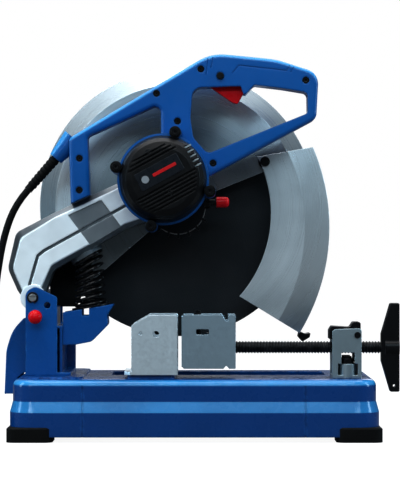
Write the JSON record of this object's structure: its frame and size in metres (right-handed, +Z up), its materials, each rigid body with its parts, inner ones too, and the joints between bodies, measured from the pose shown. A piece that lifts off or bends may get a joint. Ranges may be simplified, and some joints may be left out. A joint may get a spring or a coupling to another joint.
{
  "type": "abrasive chop saw",
  "caption": "Bench chop saw with an abrasive disc on a hinged motor arm, fixed and lifting guards, D handle, angled fence, quick release vice and steel base.",
  "frame": {"origin": "on the bench, at the centre of the four bench bolts", "axes": "+X to the operator, +Y away from the motor side, +Z up"},
  "size_m": [0.6915, 0.2768, 0.5098],
  "materials": {
    "blue_paint": "gloss",
    "grey_paint": "satin",
    "silver_paint": "satin",
    "blue_plastic": "textured",
    "black_plastic": "textured",
    "red_plastic": "gloss",
    "rubber": "matte",
    "guard_steel": "brushed",
    "steel": "machined",
    "spring_steel": "satin",
    "black_steel": "satin",
    "black_casting": "cast",
    "bronze": "sintered",
    "copper": "machined",
    "carbon": "matte",
    "abrasive": "grit",
    "fan_plastic": "moulded"
  },
  "bodies": {
    "base": {"base_frame": "blue_paint", "rubber_feet": "rubber", "foot_screws": "steel", "hinge_bracket": "blue_paint", "base_bolts": "black_steel", "pivot_shaft": "steel", "pivot_circlips": "spring_steel", "spring_seat": "blue_paint", "spring_cup": "black_steel", "return_spring": "spring_steel", "spark_guard": "blue_paint", "vice_bracket": "grey_paint", "power_cord": "rubber", "cord_coil": "rubber", "cord_tail": "rubber", "mains_plug": "rubber"},
    "fence": {"fence": "grey_paint"},
    "vice_carriage": {"swivel_block": "black_steel"},
    "jaw": {"vice_jaw": "grey_paint"},
    "vice_screw": {"vice_screw": "black_steel", "vice_handle": "black_steel"},
    "quick_lever": {"quick_lever": "black_steel"},
    "transport_lock": {"transport_lock": "red_plastic"},
    "arm": {"arm_casting": "silver_paint", "pivot_bushes": "bronze", "gear_housing": "black_casting", "gear_cover": "black_casting", "ball_bearings": "steel", "motor_housing": "blue_plastic", "motor_cap": "black_plastic", "motor_screws": "black_steel", "stator": "steel", "brush_holders": "copper", "carbon_brushes": "carbon", "fixed_guard": "guard_steel", "guard_bolts": "steel", "side_cover": "guard_steel", "spark_flap": "rubber", "guard_pivot_bolts": "black_steel", "handle_near_shell": "blue_plastic", "handle_far_shell": "blue_plastic", "handle_screws": "black_steel", "switch_module": "black_plastic", "cord_nozzle": "blue_plastic", "strain_relief": "rubber"},
    "armature": {"armature_shaft": "steel", "armature_core": "steel", "commutator": "copper", "cooling_fan": "fan_plastic"},
    "spindle": {"spindle": "steel", "driven_gear": "steel", "inner_flange": "steel", "outer_flange": "steel", "cutting_disc": "abrasive", "arbor_bolt": "steel"},
    "front_guard": {"front_guard": "guard_steel", "guard_tab": "black_plastic"},
    "trigger": {"trigger": "red_plastic"},
    "lock_button": {"lock_button": "black_plastic"},
    "spindle_lock": {"spindle_lock": "red_plastic"}
  },
  "joints": [
    {"name": "arm_swing", "type": "hinge", "parent": "base", "child": "arm", "pos_m": [-0.2144, 0, 0.1878], "axis": [0, 1, 0], "range_deg": [-22, 18.5], "deforming": ["return_spring", "power_cord"]},
    {"name": "disc_spin", "type": "hinge", "parent": "arm", "child": "spindle", "pos_m": [-0.023, 0.038, 0.31], "axis": [0, 1, 0], "continuous": true},
    {"name": "motor_spin", "type": "hinge", "parent": "arm", "child": "armature", "pos_m": [-0.04089, -0.08, 0.34296], "axis": [0, 1, 0], "continuous": true},
    {"name": "front_guard_lift", "type": "hinge", "parent": "arm", "child": "front_guard", "pos_m": [0.0952, 0, 0.3705], "axis": [0, 1, 0], "range_deg": [-60, 0]},
    {"name": "trigger_pull", "type": "hinge", "parent": "arm", "child": "trigger", "pos_m": [0.0225, -0.06, 0.4715], "axis": [0, 1, 0], "range_deg": [-7, 0], "stiffness_Nm_per_rad": 1, "springref_deg": 5.73},
    {"name": "lock_button_press", "type": "slide", "parent": "arm", "child": "lock_button", "axis": [0, 1, 0], "range_m": [0, 0.003], "stiffness_N_per_m": 300, "springref_m": -0.001},
    {"name": "spindle_lock_press", "type": "slide", "parent": "arm", "child": "spindle_lock", "axis": [-1, 0, 0], "range_m": [0, 0.0045], "stiffness_N_per_m": 400, "springref_m": -0.001},
    {"name": "transport_lock_pull", "type": "slide", "parent": "base", "child": "transport_lock", "axis": [0, -1, 0], "range_m": [0, 0.006], "stiffness_N_per_m": 500, "springref_m": -0.001},
    {"name": "fence_angle", "type": "hinge", "parent": "base", "child": "fence", "pos_m": [-0.045, -0.03, 0.085], "axis": [0, 0, 1], "range_deg": [-30, 0]},
    {"name": "vice_turn", "type": "hinge", "parent": "vice_carriage", "child": "vice_screw", "pos_m": [0.013, -0.07, 0.122], "axis": [1, 0, 0], "range_deg": [-360, 6480]},
    {"name": "vice_travel", "type": "slide", "parent": "base", "child": "vice_carriage", "axis": [1, 0, 0], "range_m": [-0.004, 0.072]},
    {"name": "jaw_swivel", "type": "hinge", "parent": "vice_carriage", "child": "jaw", "pos_m": [0.004, -0.07, 0.15], "axis": [0, 0, 1], "range_deg": [-8, 8]},
    {"name": "quick_release", "type": "hinge", "parent": "base", "child": "quick_lever", "pos_m": [0.214, -0.07, 0.139], "axis": [0, 1, 0], "range_deg": [0, 22]}
  ],
  "couplings": [
    {"joint": "motor_spin", "follows": "disc_spin", "ratio": -5.25},
    {"joint": "vice_travel", "follows": "vice_turn", "m_per_rad": 0.00063662}
  ]
}
